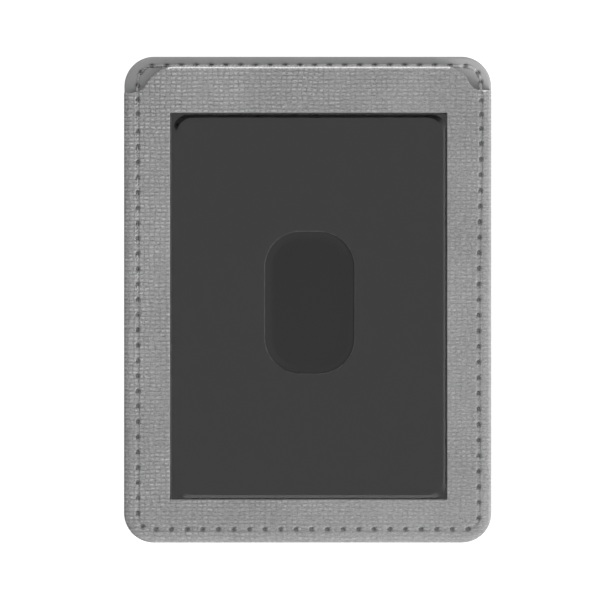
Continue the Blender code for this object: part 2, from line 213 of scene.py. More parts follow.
class Handwork:
    """Edit-mode moves on one mesh, each on the points, edges or faces that a test picks."""

    def __init__(self, obj: Object) -> None:
        """Takes the object that is worked on."""
        self.obj = obj

    def _pick(self, mode: str, test: Test) -> int:
        """Selects only what passes a test, and says how many pass it."""
        mesh = bmesh.from_edit_mesh(self.obj.data)
        parts = {"VERT": mesh.verts, "EDGE": mesh.edges, "FACE": mesh.faces}[mode]
        chosen = [part for part in parts if test(part)]
        for part in chosen:
            part.select_set(True)
        mesh.select_flush_mode()
        bmesh.update_edit_mesh(self.obj.data)
        return len(chosen)

    @contextmanager
    def picked(self, mode: str, test: Test) -> Iterator[int]:
        """Goes into edit mode with only the parts that pass a test selected, and out again.

        Args:
            mode: VERT, EDGE or FACE.
            test: Says which of them are picked.

        Yields:
            How many are picked.
        """
        take(self.obj)
        bpy.ops.object.mode_set(mode="EDIT")
        bpy.ops.mesh.select_mode(type=mode)
        bpy.ops.mesh.select_all(action="DESELECT")
        yield self._pick(mode, test)
        bpy.ops.object.mode_set(mode="OBJECT")

    def bevel(self, test: Test, width: float, segments: int, material: int = -1) -> "Handwork":
        """Rounds or chamfers the picked edges.

        Args:
            test: Says which edges are picked.
            width: How far each edge moves along its faces.
            segments: How many strips replace it; one makes a flat chamfer.
            material: The material slot of the new strips, or -1 for the one beside them.

        Returns:
            The same handwork, for the next move.
        """
        with self.picked("EDGE", test) as count:
            if count:
                bpy.ops.mesh.bevel(
                    offset_type="OFFSET",
                    offset=width,
                    segments=segments,
                    profile=0.5,
                    affect="EDGES",
                    clamp_overlap=False,
                    material=material,
                )
        return self

    def soften(self, width: float) -> "Handwork":
        """Takes the sharpness off the lower and the upper rim."""
        return self.bevel(rim(Face.DOWN), width, 2).bevel(rim(Face.UP), width, 2)

    def resize(self, test: Test, value: Place, about: Sequence[float]) -> "Handwork":
        """Scales the picked points about a place."""
        with self.picked("VERT", test):
            bpy.ops.transform.resize(value=value, center_override=tuple(about))
        return self

    def crown(self, test: Test, shape: Pair, level: float, segments: int) -> "Handwork":
        """Rounds the picked edges widely and shallowly, by a bevel while the piece is stretched in height.

        Args:
            test: Says which edges are picked.
            shape: How far in the rounding starts on the broad face, and how far down it ends on the side.
            level: The height of the broad face, which is held.
            segments: How many strips it has.

        Returns:
            The same handwork, for the next move.
        """
        reach, depth = shape
        self.resize(lambda vert: True, (1, 1, reach / depth), (0, 0, level))
        self.bevel(test, reach, segments)
        return self.resize(lambda vert: True, (1, 1, depth / reach), (0, 0, level))

    def terrace(self, level: float, steps: Sequence[Pair]) -> float:
        """Narrows the broad top step by step.

        Args:
            level: The height of the top.
            steps: How far each step goes in, and how far up.

        Returns:
            The height of the last step.
        """
        for inset, rise in steps:

            def on_top(face: Polygon, height: float = level) -> bool:
                """Whether the face is the top so far."""
                return face.normal.z > BROAD and abs(face.calc_center_median().z - height) < NEAR

            with self.picked("FACE", on_top):
                bpy.ops.mesh.inset(thickness=inset, depth=rise, use_boundary=True)
            level += rise
        return level

    def paint(self, slot: int, test: Test) -> "Handwork":
        """Gives the picked faces a material slot."""
        with self.picked("FACE", test):
            self.obj.active_material_index = slot
            bpy.ops.object.material_slot_assign()
        return self


@dataclass(frozen=True)
class Rectangle:
    """A rectangle with round corners, seen from the front."""

    middle: Pair
    half: Pair
    corner: float

    def holds(self, place: Vector) -> bool:
        """Whether a place lies inside it or on its outline."""
        return all(abs(place[axis] - self.middle[axis]) < self.half[axis] + NEAR for axis in (0, 1))

    def block(
        self, name: str, low: float, high: float, segments: int, peek: Pair = (0.0, 0.0)
    ) -> Object:
        """A block with this outline.

        Args:
            name: The new object's name.
            low: Its lower height.
            high: Its upper height.
            segments: How many strips round each corner.
            peek: How much it falls short at the left and at the top.

        Returns:
            The block.
        """
        (x, y), (half_x, half_y) = self.middle, self.half
        low_corner = (x - half_x + peek[0], y - half_y, low)
        obj = block(name, low_corner, (x + half_x, y + half_y - peek[1], high))
        Handwork(obj).bevel(upright, self.corner, segments)
        return obj


THUMB_SLOT = Rectangle((0.0004, -0.0007), (0.0103, 0.0164), 0.0082)


def skinned(data: bpy.types.Curve) -> Object:
    """Turns a curve with a section into a closed mesh whose faces look outward."""
    obj = bpy.data.objects.new(data.name, data)
    bpy.context.scene.collection.objects.link(obj)
    take(obj)
    bpy.ops.object.convert(target="MESH")
    bpy.ops.object.mode_set(mode="EDIT")
    bpy.ops.mesh.select_all(action="SELECT")
    bpy.ops.mesh.remove_doubles(threshold=MERGED)
    bpy.ops.mesh.normals_make_consistent(inside=False)
    bpy.ops.object.mode_set(mode="OBJECT")
    return bpy.context.object


def poly_curve(name: str, points: Sequence[Place], closed: bool) -> bpy.types.Curve:
    """A curve that joins points by straight lines."""
    data = bpy.data.curves.new(name, "CURVE")
    data.dimensions = "3D"
    spline = data.splines.new("POLY")
    spline.points.add(len(points) - 1)
    for point, place in zip(spline.points, points):
        point.co = (*place, 1.0)
    spline.use_cyclic_u = closed
    return data


def finish_surface(obj: Object, angle: float = 38) -> None:
    """Smooths what bends less than an angle in degrees, and keeps the broad faces flat."""
    take(obj)
    bpy.ops.object.shade_smooth_by_angle(angle=math.radians(angle))
    bpy.ops.object.modifier_add(type="WEIGHTED_NORMAL")
    modifier = obj.modifiers[-1]
    modifier.keep_sharp = True
    modifier.weight = 100
    bpy.ops.object.modifier_apply(modifier=modifier.name)


def settle(obj: Object, body: str, node: str, slot: str, *finishes: Material) -> None:
    """Puts a finished piece in the place of its CAD node.

    Args:
        obj: The piece.
        body: The body that it rides on.
        node: The node that it stands for.
        slot: The record's material slot; not used.
        finishes: Its materials, in the order of its slots.
    """
    obj.data.materials.clear()
    for finish in finishes:
        obj.data.materials.append(finish)
    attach(obj, body)
    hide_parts(node)
    LOG.info("%s stands for %s with %d faces", obj.name, node, len(obj.data.polygons))


def plain_layer(obj: Object, node: str, slot: str, rounding: float, *finishes: Material) -> None:
    """Softens, places and paints a layer that no stitch is pressed into, with the arguments of settle."""
    Handwork(obj).soften(rounding)
    settle(obj, "sleeve", node, slot, *finishes)
    Handwork(obj).paint(EDGE_SLOT, is_side)
    finish_surface(obj)


class NodeDesk:
    """Adds and joins the nodes of one material, or of the world."""

    MIX_NUMBERS = (2, 3, 0)
    MIX_COLOURS = (6, 7, 2)

    def __init__(
        self, owner: Material | bpy.types.World, seen: str = "Object", shader: str = "Principled BSDF"
    ) -> None:
        """Takes the owner, the coordinates that its nodes read and the name of its shader."""
        owner.use_nodes = True
        self.nodes = owner.node_tree.nodes
        self.links = owner.node_tree.links
        self.shader = self.nodes[shader]
        self.place = self.node("ShaderNodeTexCoord", {}, seen)

    def feed(self, node: bpy.types.Node, sources: Feeds) -> None:
        """Joins a node's inputs to other sockets or sets their values; a tint is made opaque."""
        for name, source in sources.items():
            target = node.inputs[name]
            if isinstance(source, Socket):
                self.links.new(source, target)
            elif target.type == "RGBA":
                target.default_value = (*source, 1.0)
            else:
                target.default_value = source

    def node(
        self, kind: str, sources: Feeds, output: int | str = 0, **settings: object
    ) -> Socket:
        """Adds a node.

        Args:
            kind: Its type.
            sources: What each of its inputs is fed.
            output: Which output is wanted.
            settings: Its own options.

        Returns:
            That output.
        """
        node = self.nodes.new(kind)
        for name, value in settings.items():
            setattr(node, name, value)
        self.feed(node, sources)
        return node.outputs[output]

    def math(self, operation: str, first: Source, second: Source = 0.0) -> Socket:
        """One sum on two values."""
        return self.node("ShaderNodeMath", {0: first, 1: second}, operation=operation)

    def times(self, *values: Source) -> Socket:
        """The product of some values."""
        return reduce(lambda left, right: self.math("MULTIPLY", left, right), values)

    def plus(self, *values: Source) -> Socket:
        """The sum of some values."""
        return reduce(lambda left, right: self.math("ADD", left, right), values)

    def vector(
        self, operation: str, first: Source, second: Source = (0.0, 0.0, 0.0), output: int | str = 0
    ) -> Socket:
        """One sum on two vectors."""
        return self.node("ShaderNodeVectorMath", {0: first, 1: second}, output, operation=operation)

    def scaled(self, *scale: float) -> Socket:
        """The place with each axis multiplied."""
        return self.node("ShaderNodeMapping", {"Vector": self.place, "Scale": scale})

    def apart(self, place: Socket | None = None) -> list[Socket]:
        """The x, y and z of a place, by default of the one on the surface."""
        return list(self.node("ShaderNodeSeparateXYZ", {0: place or self.place}).node.outputs)

    def noise(
        self,
        scale: float,
        detail: float = 2.0,
        rough: float = 0.5,
        place: Socket | None = None,
        output: str = "Fac",
    ) -> Socket:
        """Soft noise, as a value or as a colour, by default at the place on the surface."""
        vector = place or self.place
        sources = {"Vector": vector, "Scale": scale, "Detail": detail, "Roughness": rough}
        return self.node("ShaderNodeTexNoise", sources, output)

    def spread(
        self, value: Socket, low: float, high: float, start: float = 0.0, end: float = 1.0
    ) -> Socket:
        """A value taken smoothly from low..high to start..end, and held there."""
        sources = {"Value": value, "From Min": low, "From Max": high, "To Min": start, "To Max": end}
        return self.node("ShaderNodeMapRange", sources, "Result", interpolation_type="SMOOTHSTEP")

    def blend(self, share: Socket, low: Source, high: Source) -> Socket:
        """A number between two, by a share."""
        first, second, result = self.MIX_NUMBERS
        return self.node("ShaderNodeMix", {0: share, first: low, second: high}, result)

    def glaze(self, shade: Source, colour: Source, *shares: Socket) -> Socket:
        """A shade with a colour laid over it, once for each share."""
        first, second, result = self.MIX_COLOURS
        for share in shares:
            sources = {0: share, first: shade, second: colour}
            shade = self.node("ShaderNodeMix", sources, result, data_type="RGBA")
        return shade

    def bump(self, height: Socket, depth: float) -> Socket:
        """A normal from a height between 0 and 1 that stands for a depth in metres."""
        sources = {"Strength": 1.0, "Distance": depth, "Height": height}
        return self.node("ShaderNodeBump", sources, "Normal")


@dataclass(frozen=True)
class Finish(ABC):
    """A surface finish, which is mixed from nodes."""

    name: str

    @abstractmethod
    def mix(self, desk: NodeDesk) -> Feeds:
        """What the shader's inputs are fed."""

    def material(self) -> Material:
        """The finish as a new material."""
        material = bpy.data.materials.new(self.name)
        desk = NodeDesk(material)
        desk.feed(desk.shader, self.mix(desk))
        return material


@dataclass(frozen=True)
class CrossGrainLeather(Finish):
    """Grey imitation leather with a pressed grain of short ridges in rows and columns."""

    name: str = "grey_cross_grain_leather"
    cell: Pair = (0.00122, 0.00096)
    relief: float = 0.00008
    ior: float = 1.46
    # The dark grey is painted shade for the grain's furrows; the light grey is a painted highlight for its
    # crowns and also the skin's own lighter random tone
    groove_shade: Tint = grey(0.059, 0.001)
    ground: Tint = grey(0.150, 0.001)
    ridge_tone_and_highlight: Tint = grey(0.620, 0.002)
    wander: tuple[tuple[float, Place], ...] = ((0.13, (1.3, 0.8, 0.0)), (0.62, (1.2, 0.7, 0.0)))

    def mix(self, desk: NodeDesk) -> Feeds:
        """Ridges, grooves and pores as one height, and the tints that follow them: a painted highlight on
        the ridges' crowns and painted shade in the grooves.
        """
        drawn = self._drawn(desk)
        columns, rows = (self._aside(desk, value) for value in desk.apart(drawn)[:2])
        floor = desk.vector("FLOOR", drawn)
        single = desk.node("ShaderNodeTexWhiteNoise", {"Vector": floor}, "Value", noise_dimensions="3D")
        press = self._press(desk)
        mottle = desk.noise(3000, 3, 0.7)
        pores = desk.noise(6200, 2, 0.6)
        streak = desk.noise(3700, 2, 0.6, desk.scaled(0.28, 1.0, 1.0))
        cloud = desk.noise(50, 3, 0.55)
        rough = desk.spread(mottle, 0.32, 0.68)
        dash = desk.times(
            desk.spread(rows, 0.05, 0.46, 1.0, 0.0),
            desk.spread(columns, 0.42, 0.80, 1.0, 0.0),
            desk.spread(single, 0.0, 1.0, 0.15, 1.15),
            press,
            desk.spread(mottle, 0.36, 0.6, 0.2, 1.0),
        )
        furrow = desk.times(
            desk.math("MAXIMUM", desk.spread(rows, 0.58, 1.0), desk.spread(columns, 0.74, 1.0, 0.0, 0.85)),
            press,
        )
        height = desk.plus(
            desk.times(dash, 0.7),
            desk.times(furrow, -0.55),
            desk.times(rough, 0.34),
            desk.spread(streak, 0.34, 0.66, 0.0, 0.30),
            desk.times(pores, 0.3),
        )
        # Painted shade: the furrows are painted towards the dark grey
        shade = desk.glaze(self.ground, self.groove_shade, furrow)
        # Painted highlight: the dashes on the crowns are painted towards the light grey; rough, pores and
        # streak add the skin's own random lighter tone
        shade = desk.glaze(
            shade,
            self.ridge_tone_and_highlight,
            desk.times(dash, 0.64),
            desk.times(rough, 0.13),
            desk.spread(pores, 0.34, 0.66, 0.0, 0.13),
            desk.spread(streak, 0.34, 0.66, 0.0, 0.22),
        )
        # Painted shade: the skin is painted a little darker where the grain is pressed less, towards the
        # right and the bottom
        shade = desk.glaze(shade, self.groove_shade, desk.spread(press, 0.5, 1.0, 0.05, 0.0))
        fresh = desk.spread(cloud, 0.3, 0.75, 0.0, 0.1)
        # Painted highlight along the right and the lower rim, then random lighter clouds
        shade = desk.glaze(shade, self.ridge_tone_and_highlight, self._painted_rim_light(desk), fresh)
        gloss = desk.plus(desk.spread(dash, 0.0, 1.0, 0.6, 0.46), desk.times(pores, 0.1))
        return {
            "Base Color": shade,
            "Roughness": gloss,
            "Normal": desk.bump(height, self.relief),
            "IOR": self.ior,
        }

    def _painted_rim_light(self, desk: NodeDesk) -> Socket:
        """How much the skin is painted lighter along the right and the lower rim: a painted highlight where
        the rim catches the light.
        """
        across, along, _ = desk.apart()
        right = desk.plus(
            desk.spread(across, 0.0394, 0.0414, 0.0, 0.07),
            desk.spread(across, 0.0414, 0.0424, 0.0, 0.20),
        )
        lower = desk.plus(
            desk.spread(along, -0.0550, -0.0530, 0.09, 0.0),
            desk.spread(along, -0.0562, -0.0552, 0.06, 0.0),
        )
        return desk.math("MAXIMUM", right, lower)

    def _drawn(self, desk: NodeDesk) -> Socket:
        """The place counted in cells, with rows and columns that wander and vary in size."""
        grid = drawn = desk.scaled(1 / self.cell[0], 1 / self.cell[1], 1 / self.cell[1])
        for scale, reach in self.wander:
            sway = desk.vector("SUBTRACT", desk.noise(scale, place=grid, output="Color"), (0.5, 0.5, 0.5))
            drawn = desk.vector("ADD", drawn, desk.vector("MULTIPLY", sway, reach))
        return drawn

    def _aside(self, desk: NodeDesk, value: Socket) -> Socket:
        """0 in the middle of each cell and 1 at its ends."""
        centred = desk.math("SUBTRACT", desk.math("FRACT", value), 0.5)
        return desk.times(desk.math("ABSOLUTE", centred), 2.0)

    def _press(self, desk: NodeDesk) -> Socket:
        """How deep the grain is pressed: most at the mouth, less at the right, the bottom and in patches."""
        across, along, _ = desk.apart()
        return desk.times(
            desk.spread(across, -0.030, 0.036, 1.0, 0.62),
            desk.spread(along, -0.052, -0.040, 0.78, 1.0),
            desk.spread(along, 0.020, 0.048, 1.0, 1.2),
            desk.spread(desk.noise(95, 3, 0.6), 0.34, 0.62, 0.55, 1.0),
        )


@dataclass(frozen=True)
class RawEdge(Finish):
    """The pale fibrous core that shows where the front leather is cut at the mouth."""

    name: str = "pale_cut_edge"
    fibre: Tint = grey(0.92, -0.01)
    gap: Tint = grey(0.62)
    relief: float = 0.00003

    def mix(self, desk: NodeDesk) -> Feeds:
        """Pale fibres with darker gaps."""
        fibres = desk.noise(2600, 4, 0.6, desk.scaled(1.0, 1.0, 3.0))
        shade = desk.glaze(self.gap, self.fibre, desk.spread(fibres, 0.35, 0.65))
        return {"Base Color": shade, "Roughness": 0.85, "Normal": desk.bump(fibres, self.relief)}


@dataclass(frozen=True)
class EdgePaint(Finish):
    """Satin paint on the sanded edges of a layer, thin enough to show the layer's fibres."""

    paint: Tint
    streak: Tint
    relief: float = 0.00005

    def mix(self, desk: NodeDesk) -> Feeds:
        """Flat streaks with fine grit."""
        streaks = desk.noise(700, 4, 0.6, desk.scaled(1.0, 1.0, 6.0))
        height = desk.plus(streaks, desk.times(desk.noise(6000), 0.4))
        return {
            "Base Color": desk.glaze(self.paint, self.streak, desk.spread(streaks, 0.35, 0.7)),
            "Roughness": desk.spread(streaks, 0.3, 0.7, 0.38, 0.6),
            "Normal": desk.bump(height, self.relief),
        }


@dataclass(frozen=True)
class SmoothLining(Finish):
    """Smooth grey lining with a very fine pebble."""

    name: str = "smooth_grey_lining"
    base: Tint = grey(0.358, 0.002)
    light: Tint = grey(0.392, 0.002)
    pebble: float = 3400.0
    relief: float = 0.000016

    def mix(self, desk: NodeDesk) -> Feeds:
        """Soft clouds of tint over the pebble."""
        sources = {"Vector": desk.place, "Scale": self.pebble}
        pebble = desk.node("ShaderNodeTexVoronoi", sources, "Distance", feature="F1")
        cloud = desk.noise(210, 4, 0.6)
        height = desk.math("SUBTRACT", desk.times(desk.noise(4200), 0.6), pebble)
        return {
            "Base Color": desk.glaze(self.base, self.light, desk.spread(cloud, 0.3, 0.72)),
            "Roughness": desk.spread(cloud, 0.3, 0.7, 0.46, 0.58),
            "Normal": desk.bump(height, self.relief),
        }


@dataclass(frozen=True)
class FibreBoard(Finish):
    """Pressed grey board, felted from short fibres."""

    dark: Tint
    light: Tint
    relief: float = 0.00006

    def mix(self, desk: NodeDesk) -> Feeds:
        """Short fibres over soft lumps."""
        fibres = desk.noise(1500, 6, 0.65, desk.scaled(1.0, 2.4, 1.0))
        mixed = desk.plus(desk.times(fibres, 0.7), desk.times(desk.noise(320, 3), 0.3))
        shade = desk.glaze(self.dark, self.light, desk.spread(mixed, 0.36, 0.64))
        return {"Base Color": shade, "Roughness": 0.82, "Normal": desk.bump(mixed, self.relief)}


@dataclass(frozen=True)
class TwistedThread(Finish):
    """Bonded polyester sewing thread, painted lighter on the lip, where the front frame's edge shades it."""

    name: str = "grey_bonded_thread"
    dark: Tint = grey(0.158, 0.002)
    light: Tint = grey(0.500, 0.002)
    painted_lip_light: Tint = grey(0.860, 0.002)
    relief: float = 0.00003

    def mix(self, desk: NodeDesk) -> Feeds:
        """Fine strands in lighter and darker lengths, with painted light on the lip."""
        across, along, height = desk.apart()
        strand = desk.noise(5200, 3, 0.6)
        mixed = desk.plus(desk.times(strand, 0.6), desk.times(desk.noise(420), 0.4))
        # Painted light: on the lip beside the front frame's cut edge the thread is painted much lighter, in
        # specks along the strands, to lift the frame's shade
        lip = desk.times(
            desk.spread(along, 0.0475, 0.0490),
            desk.spread(height, 0.001, 0.002),
            desk.spread(desk.math("ABSOLUTE", across), 0.029, 0.034, 1.0, 0.3),
            desk.spread(strand, 0.3, 0.7, 0.6, 0.95),
        )
        shade = desk.glaze(self.dark, self.light, desk.spread(mixed, 0.35, 0.66))
        return {
            "Base Color": desk.glaze(shade, self.painted_lip_light, lip),
            "Roughness": desk.spread(strand, 0.3, 0.7, 0.38, 0.56),
            "Normal": desk.bump(strand, self.relief),
            "Sheen Weight": 0.2,
        }


@dataclass(frozen=True)
class SmokePlastic(Finish):
    """Clear rigid sheet with a smoke tint, with fine rub marks."""

    name: str = "smoke_clear_plastic"
    smoke: Tint = grey(0.27, 0.006)
    ior: float = 1.49

    def mix(self, desk: NodeDesk) -> Feeds:
        """A faint haze and long rub marks in the gloss."""
        rubs = desk.noise(2400, 3, 0.7, desk.scaled(1.0, 0.06, 1.0))
        haze = desk.noise(60, 4, 0.6)
        gloss = desk.plus(desk.spread(haze, 0.3, 0.7, 0.02, 0.04), desk.spread(rubs, 0.64, 0.76, 0.0, 0.03))
        return {
            "Base Color": self.smoke,
            "Roughness": gloss,
            "IOR": self.ior,
            "Transmission Weight": 1.0,
        }


@dataclass(frozen=True)
class FrostedCut(Finish):
    """The milled rim of the thumb slot, frosted by the cutter."""

    name: str = "frosted_slot_rim"
    frost: Tint = grey(0.070, 0.001)
    bare: Tint = grey(0.022, 0.001)
    relief: float = 0.000004
    ior: float = 1.49

    def mix(self, desk: NodeDesk) -> Feeds:
        """Fine marks of the cutter."""
        marks = desk.noise(1400, 3, 0.6, desk.scaled(1.0, 1.0, 4.0))
        shade = desk.glaze(self.bare, self.frost, desk.spread(marks, 0.3, 0.6))
        normal = desk.bump(marks, self.relief)
        return {"Base Color": shade, "Roughness": 0.42, "IOR": self.ior, "Normal": normal}


@dataclass(frozen=True)
class BlackSheet(Finish):
    """Satin black sheet, painted a little lighter along the thumb slot's rim, as light coming in through the
    clear sheet's cut edge.
    """

    name: str = "satin_black_plastic"
    black: Tint = grey(0.0072, 0.0001)
    painted_rim_glow: Tint = grey(0.0170, 0.0002)
    slot: Rectangle = THUMB_SLOT
    fade: float = 0.0026
    ior: float = 1.41

    def mix(self, desk: NodeDesk) -> Feeds:
        """Black, painted lighter as glowing light where the distance from the slot's straight middle nears
        its corner, in patches of cloud.
        """
        squares = []
        for value, middle, half in zip(desk.apart(), self.slot.middle, self.slot.half):
            off = desk.math("ABSOLUTE", desk.math("SUBTRACT", value, middle))
            past = desk.math("MAXIMUM", desk.math("SUBTRACT", off, half - self.slot.corner), 0.0)
            squares.append(desk.math("POWER", past, 2))
        reach = desk.math("SQRT", desk.plus(*squares))
        cloud = desk.noise(150, 3)
        # Painted light: the sheet is painted lighter near the slot's rim, for light that comes in through
        # the clear sheet's cut edge
        rim_glow_share = desk.times(
            desk.spread(reach, self.slot.corner - self.fade, self.slot.corner),
            desk.spread(cloud, 0.2, 0.8, 0.85, 1.0),
        )
        return {
            "Base Color": desk.glaze(self.black, self.painted_rim_glow, rim_glow_share),
            "Roughness": desk.spread(cloud, 0.3, 0.7, 0.21, 0.23),
            "IOR": self.ior,
        }


def made(finish: Finish) -> Material:
    """A field that holds a finish's material, made when the owner is."""
    return field(default_factory=finish.material)


@dataclass
class Finishes:
    """Every material of the object, made once."""

    leather: Material = made(CrossGrainLeather())
    raw_edge: Material = made(RawEdge())
    leather_edge: Material = made(EdgePaint("leather_edge_paint", grey(0.11), grey(0.17)))
    lining: Material = made(SmoothLining())
    lining_edge: Material = made(EdgePaint("lining_edge_paint", grey(0.13), grey(0.19)))
    board: Material = made(FibreBoard("grey_board", grey(0.05), grey(0.10)))
    board_edge: Material = made(EdgePaint("board_edge_paint", grey(0.08), grey(0.13)))
    welt: Material = made(FibreBoard("bonded_welt", grey(0.10), grey(0.17)))
    thread: Material = made(TwistedThread())
    smoke: Material = made(SmokePlastic())
    frosted: Material = made(FrostedCut())
    black: Material = made(BlackSheet())


@dataclass(frozen=True)
class Shoulder:
    """One S-shaped end of the front frame's top edge, drawn as two corners that are then rounded."""

    side: int
    shelf: float
    lower_radius: float
    slope: float
    upper_radius: float
    sweep: float

    @property
    def turn(self) -> float:
        """The slope's angle in radians."""
        return math.radians(self.sweep)

    def rounding(self, radius: float) -> float:
        """How far a corner's rounding reaches along its edges."""
        return radius * math.tan(self.turn / 2)

    def rise(self) -> float:
        """From the shelf up to the flat top edge."""
        arcs = (self.lower_radius + self.upper_radius) * (1 - math.cos(self.turn))
        return arcs + self.slope * math.sin(self.turn)

    def reach(self) -> float:
        """From the sleeve's side in to where the top edge is flat."""
        arcs = (self.lower_radius + self.upper_radius) * math.sin(self.turn)
        return self.shelf + arcs + self.slope * math.cos(self.turn)

    def inner_corner(self, half_width: float, top: float) -> Pair:
        """The corner between the shelf and the slope."""
        x = half_width - self.shelf - self.rounding(self.lower_radius)
        return self.side * x, top - self.rise()

    def outer_corner(self, half_width: float, top: float) -> Pair:
        """The corner between the slope and the flat top edge."""
        return self.side * (half_width - self.reach() + self.rounding(self.upper_radius)), top

    def edge_at(self, x: float, half_width: float, top: float) -> float:
        """The y of the cut edge at a place x on the shelf or its arc."""
        past = max(half_width - abs(x) - self.shelf, 0.0)
        return top - self.rise() + self.lower_radius - math.sqrt(self.lower_radius**2 - past**2)


@dataclass
class SleeveCut:
    """The outlines that the sleeve's layers are cut to."""

    half_width: float = 0.0425
    half_length: float = 0.05625
    corner: float = 0.0069
    corner_steps: int = 20
    lip: float = 0.0024
    window: Rectangle = Rectangle((0.0001, -0.0015), (0.0320, 0.0447), 0.0002)
    window_steps: int = 3
    seam_margin: float = 0.0029
    skive_depth: float = 0.00024
    skive: tuple[Pair, ...] = ((0.00008, 0.00016), (0.00078, 0.00020))
    shoulders: tuple[Shoulder, Shoulder] = (
        Shoulder(-1, 0.00165, 0.0040, 0.0003, 0.0070, 62),
        Shoulder(1, 0.00243, 0.0030, 0.00169, 0.0050, 60),
    )
    lower_steps: int = 12
    upper_steps: int = 14
    slope_start: float = 0.1
    slope_end: float = 0.06

    @property
    def top(self) -> float:
        """The y of the front frame's flat top edge."""
        return self.half_length - self.lip

    def panel(self, name: str, low: float, high: float) -> Object:
        """A layer of the back panel between two heights."""
        x, y = self.half_width, self.half_length
        obj = block(name, (-x, -y, low), (x, y, high))
        Handwork(obj).bevel(upright, self.corner, self.corner_steps)
        return obj

    def blank(self, name: str, low: float, high: float, top: float) -> Object:
        """A front layer between two heights, with a straight top and no window yet."""
        x, y = self.half_width, self.half_length
        obj = block(name, (-x, -y, low), (x, top, high))
        Handwork(obj).bevel(post_at((-x, -y), (x, -y)), self.corner, self.corner_steps)
        return obj

    def frame(self, name: str, low: float, high: float) -> Object:
        """A front layer between two heights with its shoulders, sharp at its rims and with no window yet."""
        obj = self.blank(name, low, high, self.top)
        hand = Handwork(obj)
        for shoulder in self.shoulders:
            trim(obj, self._shoulder_tool(shoulder, low, high))
            inner = shoulder.inner_corner(self.half_width, self.top)
            outer = shoulder.outer_corner(self.half_width, self.top)
            hand.bevel(post_at(inner), shoulder.rounding(shoulder.lower_radius), self.lower_steps)
            hand.bevel(post_at(outer), shoulder.rounding(shoulder.upper_radius), self.upper_steps)
        return obj

    def open_window(self, obj: Object, low: float, high: float, peek: Pair = (0.0, 0.0)) -> None:
        """Cuts the window out of a layer.

        Args:
            obj: The layer.
            low: Its lower height.
            high: Its upper height.
            peek: How far it peeks into the window at the left and at the top.
        """
        trim(obj, self.window.block("window_tool", low - PAST, high + PAST, self.window_steps, peek))

    def mouth_tool(self, low: float, high: float) -> Object:
        """A wider plate with the same mouth, skived at its upper rim: a blank keeps what lies inside it."""
        wider = replace(
            self,
            half_width=self.half_width + PAST,
            half_length=self.half_length + PAST,
            lip=self.lip + PAST,
            shoulders=tuple(replace(each, shelf=each.shelf + PAST) for each in self.shoulders),
        )
        level = high - self.skive_depth
        tool = wider.frame("mouth_tool", low - PAST, level)
        Handwork(tool).terrace(level, self.skive)
        return tool

    def at_mouth(self, place: Vector) -> bool:
        """Whether a place lies on the front frame's cut edge at the mouth."""
        lowest = self.top - max(shoulder.rise() for shoulder in self.shoulders)
        inward = place.y > lowest - NEAR and abs(place.x) < self.half_width - NEAR
        return inward and not self.window.holds(place)

    def on_slope(self, place: Vector) -> bool:
        """Whether a place lies on the sloping part of a shoulder's cut edge, from the seam inward."""
        if not self.at_mouth(place):
            return False
        shoulder = self.shoulders[0 if place.x < 0 else 1]
        low = self.top - shoulder.rise() + self.slope_start * shoulder.lower_radius
        inward = place.y > low or abs(place.x) < self.half_width - self.seam_margin
        return inward and place.y < self.top - self.slope_end * shoulder.upper_radius

    def _shoulder_tool(self, shoulder: Shoulder, low: float, high: float) -> Object:
        """What cuts one corner of the frame off, with a straight slope."""
        inner = shoulder.inner_corner(self.half_width, self.top)
        outer = shoulder.outer_corner(self.half_width, self.top)
        side = shoulder.side * (self.half_width + PAST)
        above = self.top + PAST
        run = (outer[0] - inner[0]) * (above - inner[1]) / (outer[1] - inner[1])
        low_corner = (min(side, inner[0]), inner[1], low - PAST)
        tool = block("shoulder_tool", low_corner, (max(side, inner[0]), above, high + PAST))
        with Handwork(tool).picked("EDGE", post_at((inner[0], above))):
            bpy.ops.transform.translate(value=(run, 0, 0))
        return tool


@dataclass(frozen=True)
class Leg:
    """A straight or left-turning stretch of the seam."""

    start: Pair
    heading: float
    length: float
    radius: float = 0.0

    def at(self, along: float) -> Place:
        """The x, y and heading at a distance along the leg."""
        x, y = self.start
        if not self.radius:
            return x + along * math.cos(self.heading), y + along * math.sin(self.heading), self.heading
        turned = self.heading + along / self.radius
        return (
            x + self.radius * (math.sin(turned) - math.sin(self.heading)),
            y - self.radius * (math.cos(turned) - math.cos(self.heading)),
            turned,
        )


